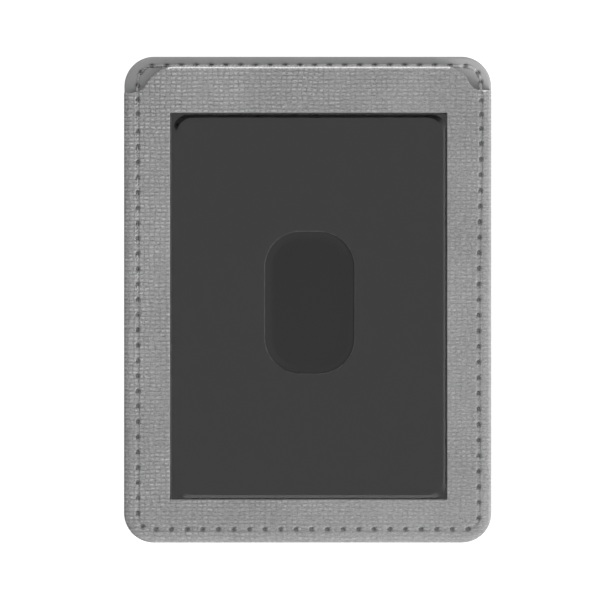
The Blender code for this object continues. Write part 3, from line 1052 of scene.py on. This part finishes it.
@dataclass
class SeamLine:
    """The line of the seam, anticlockwise from the middle of the mouth, and its needle holes."""

    side: float = 0.0394
    top: float = 0.0541
    bottom: float = 0.05305
    upper_turn: float = 0.0037
    lower_turn: float = 0.0030
    drift: float = 0.0006
    hole_runs: tuple[tuple[float, float, int], ...] = (
        (0.33030, 0.40225, 22),
        (0.40540, 0.40540, 1),
        (0.04240, 0.04888, 3),
        (0.05305, 0.14130, 26),
        (0.14465, 0.14465, 1),
        (0.14786, 0.22000, 21),
        (0.22370, 0.31031, 25),
        (0.31378, 0.32027, 3),
        (0.32450, 0.32690, 2),
    )
    legs: list[Leg] = field(default_factory=list)

    def __post_init__(self) -> None:
        """Lays the legs end to end."""
        quarter = math.pi / 2
        plan = [(self.side - self.upper_turn, 0.0), (self.upper_turn * quarter, self.upper_turn)]
        plan += [(self.top + self.bottom - self.upper_turn - self.lower_turn, 0.0)]
        plan += [(self.lower_turn * quarter, self.lower_turn), (2 * (self.side - self.lower_turn), 0.0)]
        plan += plan[3:1:-1] + plan[1::-1]
        place, heading = (0.0, self.top), math.pi
        for length, radius in plan:
            leg = Leg(place, heading, length, radius)
            self.legs.append(leg)
            x, y, heading = leg.at(length)
            place = (x, y)

    @property
    def length(self) -> float:
        """The seam's whole length."""
        return sum(leg.length for leg in self.legs)

    def at(self, distance: float) -> Place:
        """The x, y and heading at a distance along the seam, which strays a little at the upper right."""
        left = distance % self.length
        for leg in self.legs:
            if left <= leg.length:
                break
            left -= leg.length
        x, y, heading = leg.at(min(left, leg.length))
        climb = smooth(min(max(y / self.side, 0.0), 1.0))
        return x + self.drift * climb * max(x / self.side, 0.0), y, heading

    def holes(self) -> list[float]:
        """How far along the seam each needle hole lies, in order."""
        found = []
        for start, end, count in self.hole_runs:
            for index in range(count):
                found.append((start + (end - start) * index / max(count - 1, 1)) % self.length)
        return sorted(found)

    def run(self, start: float, end: float, spacing: float) -> list[Pair]:
        """Evenly spaced points on the seam between two distances."""
        count = max(int((end - start) / spacing), 2)
        return [self.at(start + (end - start) * index / count)[:2] for index in range(count + 1)]

    def crossings(self, cut: SleeveCut) -> Pair:
        """How far along the seam the left and the right shoulder's cut edges lie."""
        left, right = (each.edge_at(self.side, cut.half_width, cut.top) for each in cut.shoulders)
        down = sum(leg.length for leg in self.legs[:2])
        up = sum(leg.length for leg in self.legs[:6])
        return down + self.top - self.upper_turn - left, up + self.bottom - self.lower_turn + right


@dataclass
class NeedleWork:
    """The pressed valley, the needle holes and the thread of one side of the sleeve."""

    seam: SeamLine
    valley_radius: float = 0.0020
    valley_depth: float = 0.00014
    valley_spacing: float = 0.0008
    valley_sides: int = 14
    hole_rings: tuple[Pair, ...] = (
        (0.00030, -0.00062),
        (0.00038, -0.00036),
        (0.00044, -0.00018),
        (0.00050, -0.00008),
        (0.00058, -0.00003),
        (0.00076, 0.00005),
    )
    hole_above: float = 0.0003
    hole_stretch: float = 1.4
    hole_sides: int = 12
    ply_radius: float = 0.00016
    ply_offset: float = 0.00013
    ply_steps: int = 2
    twist_length: float = 0.0016
    step: float = 0.00015
    dive_depth: float = 0.00105
    dive_reach: Pair = (0.00075, 0.00125)
    droop: float = 0.00020
    slant: float = 0.00006
    slant_reach: float = 0.0002

    def sew(
        self, obj: Object, face: float, side: Face, start: float, end: float, overlap: float = 0.0
    ) -> None:
        """Presses the seam's shallow valley into a layer and punches flared needle holes.

        Args:
            obj: The layer.
            face: The height of the sewn face.
            side: Which way that face looks.
            start: Where the seam begins on this layer.
            end: Where it ends; a whole turn later for a closed one.
            overlap: How much further the valley goes at both ends.
        """
        turn = self.seam.length
        closed = end - start >= turn - NEAR
        height = face + side.value * (self.valley_radius - self.valley_depth)
        line = self.seam.run(start - overlap, end + overlap, self.valley_spacing)
        points = [(x, y, height) for x, y in (line[:-1] if closed else line)]
        valley = poly_curve("valley_tool", points, closed)
        valley.bevel_depth = self.valley_radius
        valley.bevel_resolution = self.valley_sides
        valley.use_fill_caps = not closed
        trim(obj, skinned(valley))
        needle = self._needle(side)
        height = face - side.value * self.valley_depth
        copies = []
        for distance in self.seam.holes():
            if not (start < distance < end or start < distance + turn < end):
                continue
            x, y, heading = self.seam.at(distance)
            copy = bpy.data.objects.new("needle", needle.data.copy())
            bpy.context.scene.collection.objects.link(copy)
            copy.data.transform(Matrix.Translation((x, y, height)) @ Matrix.Rotation(heading, 4, "Z"))
            copies.append(copy)
        bpy.data.objects.remove(needle, do_unlink=True)
        take(copies[0])
        for copy in copies:
            copy.select_set(True)
        bpy.ops.object.join()
        trim(obj, copies[0])

    def thread(self, name: str, level: Callable[[float], float], side: Face) -> Object:
        """Lays a twisted two-ply thread along the seam, down into each hole and up again.

        Args:
            name: The new object's name.
            level: The height of the thread's middle at a distance along the seam.
            side: Which way the sewn face looks.

        Returns:
            The thread as one closed mesh.
        """
        count = int(self.seam.length / self.step)
        turns = round(self.seam.length / self.twist_length)
        holes = self.seam.holes()
        points = []
        for index in range(count):
            distance = self.seam.length * index / count
            x, y, heading = self.seam.at(distance)
            dip, aside = self._stitch(distance, holes)
            x -= aside * math.sin(heading)
            y += aside * math.cos(heading)
            points.append((x, y, level(distance) - side.value * dip))
        data = poly_curve(name, points, True)
        data.twist_mode = "Z_UP"
        for index, point in enumerate(data.splines[0].points):
            point.tilt = 2 * math.pi * turns * index / count
        plies = self._plies()
        data.bevel_mode = "OBJECT"
        data.bevel_object = plies
        obj = skinned(data)
        bpy.data.objects.remove(plies, do_unlink=True)
        take(obj)
        bpy.ops.object.shade_smooth()
        return obj

    def _stitch(self, distance: float, holes: Sequence[float]) -> Pair:
        """How deep the thread lies below its level, and how far aside, at a distance along the seam.

        Each stitch stands highest where it leaves its right or lower hole, and droops towards the other one.
        """
        after = next((hole for hole in holes if hole >= distance), holes[0] + self.seam.length)
        before = next((hole for hole in reversed(holes) if hole < distance), holes[-1] - self.seam.length)
        gap = after - before
        share = (distance - before) / gap
        nearest = min(distance - before, after - distance)
        heading = self.seam.at((before + gap / 2) % self.seam.length)[2]
        onward = math.cos(heading) > math.sin(heading)
        reach = self.dive_reach[0 if onward == (share < 0.5) else 1]
        lying = smooth(min(nearest / reach, 1.0))
        dip = self.dive_depth * (1 - lying) + self.droop * lying * (share if onward else 1 - share)
        return dip, self.slant * (2 * share - 1) * min(nearest / self.slant_reach, 1.0)

    def _plies(self) -> Object:
        """The thread's section: two round plies side by side."""
        bpy.ops.object.select_all(action="DESELECT")
        rings = []
        for side in (-1, 1):
            place = (side * self.ply_offset, 0, 0)
            bpy.ops.curve.primitive_bezier_circle_add(radius=self.ply_radius, location=place)
            rings.append(bpy.context.object)
            rings[-1].data.resolution_u = self.ply_steps
        rings[0].select_set(True)
        bpy.ops.object.join()
        return added("plies")

    def _needle(self, side: Face) -> Object:
        """The flared tool that opens one hole, with its point towards the layer."""
        radius, height = self.hole_rings[0]
        bpy.ops.object.select_all(action="DESELECT")
        bpy.ops.mesh.primitive_circle_add(
            vertices=self.hole_sides, radius=radius, fill_type="NGON", location=(0, 0, height)
        )
        needle = added("needle")
        bpy.ops.object.mode_set(mode="EDIT")
        bpy.ops.mesh.select_all(action="SELECT")
        for wider, higher in self.hole_rings[1:]:
            bpy.ops.mesh.extrude_region_move(TRANSFORM_OT_translate={"value": (0, 0, higher - height)})
            bpy.ops.transform.resize(value=(wider / radius, wider / radius, 1))
            radius, height = wider, higher
        bpy.ops.mesh.extrude_region_move(TRANSFORM_OT_translate={"value": (0, 0, self.hole_above)})
        bpy.ops.mesh.select_all(action="SELECT")
        bpy.ops.mesh.normals_make_consistent(inside=False)
        bpy.ops.object.mode_set(mode="OBJECT")
        needle.data.transform(Matrix.Diagonal((self.hole_stretch, 1.0, 1.0, 1.0)))
        if side is Face.DOWN:
            needle.data.transform(Matrix.Rotation(math.pi, 4, "X"))
        return needle


@dataclass
class BackPanel:
    """The back of the sleeve: its grained skin, its board and the smooth lining that shows as the lip."""

    cut: SleeveCut
    needle: NeedleWork
    finishes: Finishes
    back_crown: Pair = (0.0016, 0.0004)
    lip_crown: Pair = (0.0008, 0.0004)
    crown_steps: int = 8
    overlap: float = 0.001
    rounding: float = 0.00008

    def build(self, lip_from: float, lip_to: float) -> None:
        """Builds the three layers.

        Args:
            lip_from: Where the lip's seam begins, at the right shoulder.
            lip_to: Where it ends, at the left shoulder, a turn later.
        """
        made_of = self.finishes
        skin = ("back_leather", "back_skin", "leather", made_of.leather, made_of.leather_edge)
        self._sewn(Face.DOWN, self.back_crown, (0.0, self.needle.seam.length, 0.0), *skin)
        low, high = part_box("back_board")
        stiffener = self.cut.panel("back_stiffener", low.z, high.z)
        plain_layer(stiffener, "back_board", "board", self.rounding, made_of.board, made_of.board_edge)
        inside = ("back_lining", "back_inside", "lining", made_of.lining, made_of.lining_edge)
        self._sewn(Face.UP, self.lip_crown, (lip_from, lip_to, self.overlap), *inside)

    def _sewn(
        self,
        looks: Face,
        crown: Pair,
        stretch: tuple[float, float, float],
        node: str,
        name: str,
        slot: str,
        *finishes: Material,
    ) -> None:
        """Cuts, rounds, sews and finishes one outer layer.

        Args:
            looks: Which way its sewn face looks.
            crown: How far in and how far down its rim is rounded.
            stretch: Where its seam begins and ends, and the valley's overlap.
            node: The CAD node that it stands for.
            name: The new object's name.
            slot: The record's material slot.
            finishes: The materials of its faces and of its edge.
        """
        low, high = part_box(node)
        level = high.z if looks is Face.UP else low.z
        obj = self.cut.panel(name, low.z, high.z)
        hand = Handwork(obj).crown(rim(looks), crown, level, self.crown_steps)
        self.needle.sew(obj, level, looks, *stretch)
        settle(obj, "sleeve", node, slot, *finishes)

        def on_edge(face: Polygon) -> bool:
            """Whether the face stands upright beyond the rounding."""
            return is_side(face) and (level - face.calc_center_median().z) * looks.value > crown[1]

        hand.paint(EDGE_SLOT, on_edge)
        finish_surface(obj)


@dataclass
class PocketWall:
    """The three welt strips that give the pocket its depth."""

    cut: SleeveCut
    finishes: Finishes
    rounding: float = 0.00008
    free_sides: tuple[tuple[str, Place, Place], ...] = (
        ("left_welt", (-1, 0, -1), (0, 1, 1)),
        ("right_welt", (0, 0, -1), (1, 1, 1)),
        ("bottom_welt", (-1, -1, -1), (1, 0, 1)),
    )

    def build(self) -> None:
        """Cuts each strip from the front frame's outline, by a block that goes past it on its free sides."""
        for node, below, above in self.free_sides:
            low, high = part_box(node)
            obj = self.cut.frame(node.replace("welt", "welt_strip"), low.z, high.z)
            tool = block("strip_tool", low + PAST * Vector(below), high + PAST * Vector(above))
            trim(obj, tool, Cut.KEEP)
            Handwork(obj).soften(self.rounding)
            settle(obj, "sleeve", node, "welt", self.finishes.welt)
            finish_surface(obj)


@dataclass
class FrontFrame:
    """The front of the sleeve: a thin lining, a thin board and the grained skin, each with the window."""

    cut: SleeveCut
    needle: NeedleWork
    finishes: Finishes
    rim_crown: Pair = (0.0018, 0.00062)
    crown_steps: int = 12
    window_rounding: float = 0.0003
    window_steps: int = 4
    valley: Pair = (0.0013, 0.00013)
    overlap: float = 0.0015
    peek: Pair = (0.00030, 0.00010)
    rounding: float = 0.00006

    def build(self, sewn_from: float, sewn_to: float) -> None:
        """Builds the three layers.

        Args:
            sewn_from: Where the frame's seam begins, at the left shoulder.
            sewn_to: Where it ends, at the right shoulder.
        """
        made_of = self.finishes
        for node, name, slot, finish, edge in (
            ("front_lining", "front_inside", "lining", made_of.lining, made_of.lining_edge),
            ("front_board", "front_stiffener", "board", made_of.board, made_of.board_edge),
        ):
            low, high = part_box(node)
            obj = self.cut.frame(name, low.z, high.z)
            self.cut.open_window(obj, low.z, high.z, self.peek)
            plain_layer(obj, node, slot, self.rounding, finish, edge)
        self.skin(sewn_from, sewn_to)

    def skin(self, sewn_from: float, sewn_to: float) -> None:
        """The grained skin, with its pale cut edge at the mouth."""
        low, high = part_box("front_leather")
        cut, made_of = self.cut, self.finishes
        obj = cut.blank("front_skin", low.z, high.z, cut.top + PAST)
        hand = Handwork(obj)
        below_top = rim(Face.UP, lambda middle: middle.y < cut.top)
        hand.crown(below_top, self.rim_crown, high.z, self.crown_steps)
        trim(obj, cut.mouth_tool(low.z, high.z), Cut.KEEP)
        cut.open_window(obj, low.z, high.z)
        finishes = (made_of.leather, made_of.raw_edge, made_of.leather_edge)
        settle(obj, "sleeve", "front_leather", "leather", *finishes)
        window_rim = rim(Face.UP, cut.window.holds)
        hand.bevel(window_rim, self.window_rounding, self.window_steps, SkinSlot.GRAIN)
        hand.paint(SkinSlot.EDGE, is_side)
        for slot, faces, where in (
            (SkinSlot.RAW, lambda face: face.normal.z < TILTED, cut.at_mouth),
            (SkinSlot.GRAIN, lambda face: face.normal.z < TILTED, cut.on_slope),
            (SkinSlot.GRAIN, is_side, cut.window.holds),
        ):
            hand.paint(slot, lambda face, f=faces, w=where: f(face) and w(face.calc_center_median()))
        radius, depth = self.valley
        needle = replace(self.needle, valley_radius=radius, valley_depth=depth)
        needle.sew(obj, high.z, Face.UP, sewn_from, sewn_to, self.overlap)
        finish_surface(obj)


@dataclass
class Stitches:
    """The two threads of the lockstitch."""

    needle: NeedleWork
    finishes: Finishes
    sunk: float = 0.00020
    lip_sunk: float = -0.00014
    bobbin_gap: float = 0.00005

    def build(self, left_edge: float, right_edge: float) -> None:
        """Sews both sides.

        Args:
            left_edge: Where the seam passes the left shoulder's cut edge.
            right_edge: Where it passes the right one's.
        """
        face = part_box("front_leather")[1].z - self.sunk
        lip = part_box("back_lining")[1].z - self.lip_sunk
        holes = self.needle.seam.holes()
        lip_left = max(hole for hole in holes if hole < left_edge)
        lip_right = min(hole for hole in holes if hole > right_edge)

        def level(distance: float) -> float:
            """The needle thread's height: it climbs from the lip's last hole over the cut edge."""
            left = (distance - lip_left) / (left_edge - lip_left)
            right = (lip_right - distance) / (lip_right - right_edge)
            return lip + (face - lip) * min(max(min(left, right), 0.0), 1.0)

        needle = self.needle.thread("needle_thread", level, Face.UP)
        settle(needle, "sleeve", "front_thread", "thread", self.finishes.thread)
        bobbin_level = self.needle.ply_radius + self.needle.ply_offset + self.bobbin_gap
        bobbin = self.needle.thread("bobbin_thread", lambda distance: bobbin_level, Face.DOWN)
        settle(bobbin, "sleeve", "back_thread", "thread", self.finishes.thread)


@dataclass
class Holder:
    """The rigid holder: a black back sheet and a clear front moulded over the card's room."""

    finishes: Finishes
    corner: float = 0.0030
    corner_steps: int = 16
    back_rounding: float = 0.00008
    edge_round: float = 0.00012
    rim_steps: int = 8
    smooth_angle: float = 13
    panel: Rectangle = Rectangle((0.00047, -0.00160), (0.0316, 0.0444), 0.0034)
    top_corner: float = 0.0038
    bevel_steps: tuple[Pair, ...] = ((0.00005, 0.000350), (0.00067, 0.0000465), (0.00005, 0.0000035))
    panel_rise: float = 0.0004
    panel_overlap: float = 0.0001
    slot: Rectangle = THUMB_SLOT
    slot_steps: int = 24
    slot_rim: float = 0.00015
    card_room: float = 0.0006
    card_play: float = 0.0004
    room_steps: int = 12

    def build(self) -> None:
        """Builds the two sheets."""
        self.back()
        self.front()

    def back(self) -> None:
        """The black back sheet."""
        obj = block("holder_back_sheet", *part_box("toploader_back"))
        Handwork(obj).bevel(upright, self.corner, self.corner_steps).soften(self.back_rounding)
        settle(obj, "toploader", "toploader_back", "black_plastic", self.finishes.black)
        finish_surface(obj)

    def front(self) -> None:
        """The clear front: margin, raised panel, card's room and thumb slot."""
        low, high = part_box("toploader_front")
        margin = high.z - self.panel_rise
        obj = block("holder_front_sheet", low, (high.x, high.y, margin))
        hand = Handwork(obj).bevel(upright, self.corner, self.corner_steps)
        hand.bevel(rim(Face.UP), self.edge_round, self.rim_steps)
        trim(obj, self.panel_tool(low.z + self.card_room, margin), Cut.ADD)
        trim(obj, self.room_tool(low.z, high.y))
        trim(obj, self.slot.block("slot_tool", low.z - PAST, high.z + PAST, self.slot_steps))
        finishes = (self.finishes.smoke, self.finishes.frosted)
        settle(obj, "toploader", "toploader_front", "smoke_plastic", *finishes)
        hand.bevel(rim(Face.UP, self.slot.holds), self.slot_rim, self.rim_steps, EDGE_SLOT)
        finish_surface(obj, self.smooth_angle)

    def panel_tool(self, low: float, margin: float) -> Object:
        """The raised card panel between two heights, with its rounded bevel and wider corners on top."""
        tool = self.panel.block("panel_tool", low + self.panel_overlap, margin, self.corner_steps)
        hand = Handwork(tool)
        height = hand.terrace(margin, self.bevel_steps)
        inset = sum(step[0] for step in self.bevel_steps)
        radius = self.panel.corner - inset
        wider = self.top_corner / radius
        (x, y), (half_x, half_y) = self.panel.middle, self.panel.half
        for side, end in ((-1, -1), (1, -1), (1, 1), (-1, 1)):
            apex = Vector((x + side * (half_x - inset), y + end * (half_y - inset), height))

            def on_arc(vert: bmesh.types.BMVert, corner: Vector = apex) -> bool:
                """Whether the point lies on the top's arc at that corner."""
                return (vert.co - corner).length < radius + NEAR and vert.co.z > height - NEAR

            hand.resize(on_arc, (wider, wider, 1), apex)
        return tool

    def room_tool(self, low: float, top: float) -> Object:
        """What hollows out the card's room, open at the holder's mouth."""
        (x, y), (half_x, half_y) = self.panel.middle, self.panel.half
        left, right = x - half_x - self.card_play, x + half_x + self.card_play
        bottom = y - half_y - self.card_play
        tool = block("room_tool", (left, bottom, low - PAST), (right, top + PAST, low + self.card_room))
        Handwork(tool).bevel(post_at((left, bottom), (right, bottom)), self.panel.corner, self.room_steps)
        return tool


@dataclass
class Studio:
    """A plain pale table under soft light, and the camera straight above."""

    table_size: float = 3.0
    table_gap: float = 0.00001
    table_tint: Tint = grey(0.72)
    table_darker: float = 0.985
    table_glow: float = 0.8
    white: Tint = grey(1.0)
    dome: float = 1.0
    below_walls: Pair = (-0.96, -0.8)
    walls: Pair = (0.31, 0.86)
    walls_turn: Pair = (-0.8, 0.6)
    horizon: Pair = (-0.05, 0.1)
    bounce: Pair = (0.36, 1.15)
    bounce_turn: Pair = (-0.7, 0.3)
    wall_side: Place = (0.9, 0.3, 0.0)
    bright_sides: tuple[Place, Place] = ((0.154, -0.01, 1.0), (0.014, -0.161, 1.0))
    bright: Pair = (2.1, 2.4)
    bright_edge: Pair = (5.6, 3.2)
    dark_sides: tuple[tuple[Place, float, float], ...] = (
        ((-0.073, 0.080, 1.0), 2.5, 4.0),
        ((-0.045, 0.115, 1.0), 2.4, 4.4),
        ((0.0, 0.163, 1.0), 4.0, 6.0),
        ((0.05, 0.115, 1.0), 0.2, 3.4),
    )
    key_place: Place = (1.37, -1.24, 0.81)
    key_size: float = 1.05
    key_watts: float = 45.0
    camera_place: Place = (-0.001820, -0.00012, 2.005)
    view_width: float = 0.1388
    focus_height: float = 0.005
    sensor: float = 36.0

    def build(self) -> None:
        """Sets up the table, the light and the camera."""
        self.table()
        self.light_dome()
        self.key_light()
        self.camera()

    def table(self) -> None:
        """The pale table top, which lights nothing and isn't mirrored."""
        bpy.ops.object.select_all(action="DESELECT")
        bpy.ops.mesh.primitive_plane_add(size=self.table_size, location=(0, 0, -self.table_gap))
        table = added("table")
        material = bpy.data.materials.new("pale_table")
        desk = NodeDesk(material)
        darker = grey(self.table_tint[0] * self.table_darker)
        sources = {
            "Base Color": desk.glaze(darker, self.table_tint, desk.noise(9)),
            "Roughness": 0.7,
            "Emission Color": self.white,
            "Emission Strength": self.table_glow,
        }
        desk.feed(desk.shader, sources)
        table.data.materials.append(material)
        table.visible_diffuse = False
        table.visible_glossy = False

    def light_dome(self) -> None:
        """A pale dome, brighter on the side that the key light comes from and dark across from it.

        Near its top it has two small bright and four small dark patches, which the bevel of the holder's
        panel mirrors towards the camera.
        """
        world = bpy.data.worlds.new("soft_dome")
        bpy.context.scene.world = world
        desk = NodeDesk(world, "Generated", "Background")

        def lobe(direction: Sequence[float], start: float, end: float) -> Socket:
            """Rises from 0 to 1 as a direction of the dome turns towards another, by their cosine."""
            towards = Vector(direction).normalized()
            return desk.spread(desk.vector("DOT_PRODUCT", desk.place, towards, "Value"), start, end)

        def patch(direction: Sequence[float], outer: float, inner: float) -> Socket:
            """A round patch of the dome, between two angles in degrees."""
            return lobe(direction, *(math.cos(math.radians(angle)) for angle in (outer, inner)))

        down = (0, 0, -1)
        walls = desk.blend(lobe(self.wall_side, *self.walls_turn), *self.walls)
        bounce = desk.blend(lobe(self.wall_side, *self.bounce_turn), *self.bounce)
        level = desk.blend(lobe(down, *self.below_walls), self.dome, walls)
        level = desk.blend(lobe(down, *self.horizon), level, bounce)
        for side, bright in zip(self.bright_sides, self.bright):
            level = desk.blend(patch(side, *self.bright_edge), level, bright)
        for side, full, faded in self.dark_sides:
            level = desk.blend(patch(side, faded, full), level, 0.0)
        desk.feed(desk.shader, {"Color": self.white, "Strength": level})

    def key_light(self) -> None:
        """A soft box near the lower right corner, not mirrored and not seen through the clear plate."""
        bpy.ops.object.light_add(type="AREA", location=self.key_place)
        key = bpy.context.object
        key.name = "soft_box"
        key.data.shape = "SQUARE"
        key.data.size = self.key_size
        key.data.energy = self.key_watts
        key.rotation_euler = (-Vector(self.key_place)).to_track_quat("-Z", "Y").to_euler()
        key.visible_glossy = False
        key.visible_transmission = False

    def camera(self) -> None:
        """The camera straight above, the sleeve's mouth towards the top of the picture."""
        bpy.ops.object.camera_add(location=self.camera_place, rotation=(0, 0, 0))
        camera = bpy.context.object
        camera.name = "camera"
        camera.data.sensor_width = self.sensor
        camera.data.lens = self.sensor * (self.camera_place[2] - self.focus_height) / self.view_width
        camera.data.clip_start = 0.01
        bpy.context.scene.camera = camera
        bpy.context.scene.view_settings.view_transform = "Standard"
        bpy.context.scene.view_settings.look = "None"


def main() -> None:
    """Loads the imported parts, dresses them and sets the stage."""
    logging.basicConfig(level=logging.INFO, format="%(name)s: %(message)s")
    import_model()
    cut = SleeveCut()
    seam = SeamLine()
    needle = NeedleWork(seam)
    finishes = Finishes()
    left_edge, right_edge = seam.crossings(cut)
    BackPanel(cut, needle, finishes).build(right_edge, left_edge + seam.length)
    PocketWall(cut, finishes).build()
    FrontFrame(cut, needle, finishes).build(left_edge, right_edge)
    Stitches(needle, finishes).build(left_edge, right_edge)
    Holder(finishes).build()
    Studio().build()


if __name__ == "__main__":
    main()
